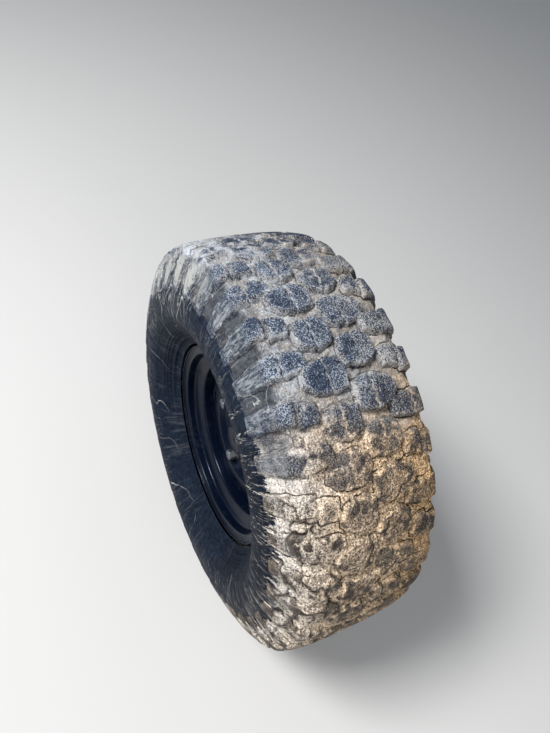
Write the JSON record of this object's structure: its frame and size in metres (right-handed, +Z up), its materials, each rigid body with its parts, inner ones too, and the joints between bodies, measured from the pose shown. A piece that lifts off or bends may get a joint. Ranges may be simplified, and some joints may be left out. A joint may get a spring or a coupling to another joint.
{
  "type": "utility vehicle front wheel end",
  "caption": "Knobbly off-road tyre on a pressed steel wheel, turning on its hub and bearing in a steering knuckle with disc brake.",
  "frame": {"origin": "centre of the knuckle's lower ball joint bore", "axes": "+Z up, +Y inboard along the wheel's axle, -X the way the vehicle drives (front left corner)"},
  "size_m": [0.661, 0.252, 0.661],
  "materials": {
    "tyre": "worn",
    "wheel_paint": "gloss",
    "valve_rubber": "matte",
    "cap_plastic": "satin",
    "hub_iron": "machined",
    "zinc_steel": "satin",
    "nut_chrome": "satin",
    "disc_steel": "brushed",
    "bearing_steel": "satin",
    "knuckle_iron": "cast",
    "caliper_alloy": "cast",
    "pad_lining": "rough"
  },
  "bodies": {
    "knuckle": {"wheel_bearing": "bearing_steel", "knuckle": "knuckle_iron", "caliper_body": "caliper_alloy", "brake_pads": "pad_lining", "caliper_bolts": "zinc_steel"},
    "wheel": {"tyre": "tyre", "rim_barrel": "wheel_paint", "wheel_disc": "wheel_paint", "valve_stem": "valve_rubber", "valve_cap": "cap_plastic", "hub": "hub_iron", "wheel_studs": "zinc_steel", "lug_nuts": "nut_chrome", "centre_cap": "cap_plastic", "brake_disc": "disc_steel", "disc_bolts": "zinc_steel"}
  },
  "joints": [
    {"name": "wheel_spin", "type": "hinge", "parent": "knuckle", "child": "wheel", "pos_m": [0, -0.092, 0.092], "axis": [0, 1, 0], "continuous": true}
  ]
}
